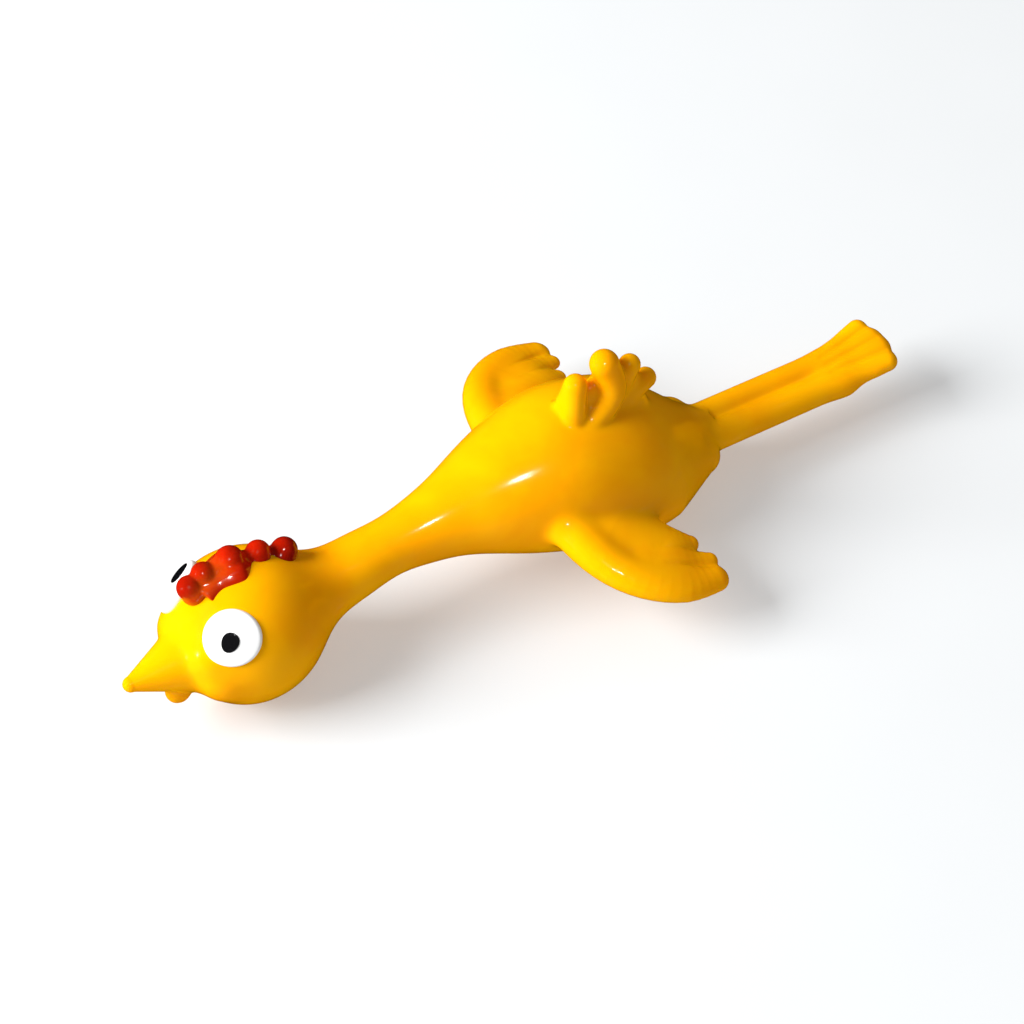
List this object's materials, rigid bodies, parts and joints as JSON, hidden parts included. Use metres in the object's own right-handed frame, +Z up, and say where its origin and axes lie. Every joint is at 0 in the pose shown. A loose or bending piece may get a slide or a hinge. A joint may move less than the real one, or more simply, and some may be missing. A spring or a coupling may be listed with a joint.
{
  "type": "rubber chicken",
  "caption": "Small stretchy rubber chicken lying on its belly, with a round head, swept wings, a tail plume and trailing legs that all flex.",
  "frame": {"origin": "centre of the bounding box at floor level, under the belly", "axes": "+X towards the beak, +Y to the chicken's left, +Z up"},
  "size_m": [0.11, 0.0464, 0.0316],
  "materials": {
    "yellow_rubber": "gloss",
    "red_rubber": "gloss",
    "white_paint": "satin",
    "black_paint": "gloss"
  },
  "bodies": {
    "torso": {"torso": "yellow_rubber"},
    "neck_base": {"neck_base": "yellow_rubber"},
    "neck_middle": {"neck_middle": "yellow_rubber"},
    "neck_top": {"neck_top": "yellow_rubber"},
    "wing_left": {"wing_left": "yellow_rubber"},
    "wing_right": {"wing_right": "yellow_rubber"},
    "tail_plume": {"tail_plume": "yellow_rubber"},
    "legs_root": {"legs_root": "yellow_rubber"},
    "legs_middle": {"legs_middle": "yellow_rubber"},
    "legs_end": {"legs_end": "yellow_rubber"},
    "feet": {"feet": "yellow_rubber"},
    "head": {"head": "yellow_rubber", "comb": "red_rubber", "eye_white_left": "white_paint", "eye_white_right": "white_paint", "pupil_left": "black_paint", "pupil_right": "black_paint"}
  },
  "joints": [
    {"name": "neck_swing", "type": "hinge", "parent": "torso", "child": "neck_base", "pos_m": [0.01, 0, 0.0131], "axis": [0, 0, 1], "range_deg": [-35, 35], "stiffness_Nm_per_rad": 0.015},
    {"name": "neck_lift", "type": "hinge", "parent": "neck_base", "child": "neck_middle", "pos_m": [0.0154, 0, 0.0126], "axis": [0, -1, 0], "range_deg": [-35, 35], "stiffness_Nm_per_rad": 0.015},
    {"name": "neck_stretch", "type": "slide", "parent": "neck_middle", "child": "neck_top", "axis": [1, 0, 0], "range_m": [0, 0.02], "stiffness_N_per_m": 300},
    {"name": "head_nod", "type": "hinge", "parent": "neck_top", "child": "head", "pos_m": [0.0264, 0, 0.0112], "axis": [0, -1, 0], "range_deg": [-35, 35], "stiffness_Nm_per_rad": 0.015},
    {"name": "wing_left_flap", "type": "hinge", "parent": "torso", "child": "wing_left", "pos_m": [0, 0.0119, 0.013], "axis": [0.9744, 0, 0.225], "range_deg": [-30, 40], "stiffness_Nm_per_rad": 0.003},
    {"name": "wing_right_flap", "type": "hinge", "parent": "torso", "child": "wing_right", "pos_m": [0, -0.0119, 0.013], "axis": [-0.9744, 0, -0.225], "range_deg": [-30, 40], "stiffness_Nm_per_rad": 0.003},
    {"name": "plume_bend", "type": "hinge", "parent": "torso", "child": "tail_plume", "pos_m": [-0.0086, 0, 0.0232], "axis": [0.9563, 0, 0.2924], "range_deg": [-35, 35], "stiffness_Nm_per_rad": 0.002},
    {"name": "legs_swing", "type": "hinge", "parent": "torso", "child": "legs_root", "pos_m": [-0.0292, 0, 0.0084], "axis": [0, 0, 1], "range_deg": [-35, 35], "stiffness_Nm_per_rad": 0.006},
    {"name": "legs_lift", "type": "hinge", "parent": "legs_root", "child": "legs_middle", "pos_m": [-0.0344, 0, 0.0084], "axis": [0, 1, 0], "range_deg": [-35, 35], "stiffness_Nm_per_rad": 0.004},
    {"name": "legs_stretch", "type": "slide", "parent": "legs_middle", "child": "legs_end", "axis": [-1, 0, 0], "range_m": [0, 0.02], "stiffness_N_per_m": 100},
    {"name": "feet_flex", "type": "hinge", "parent": "legs_end", "child": "feet", "pos_m": [-0.0462, 0, 0.0084], "axis": [0, 1, 0], "range_deg": [-35, 35], "stiffness_Nm_per_rad": 0.0015}
  ]
}
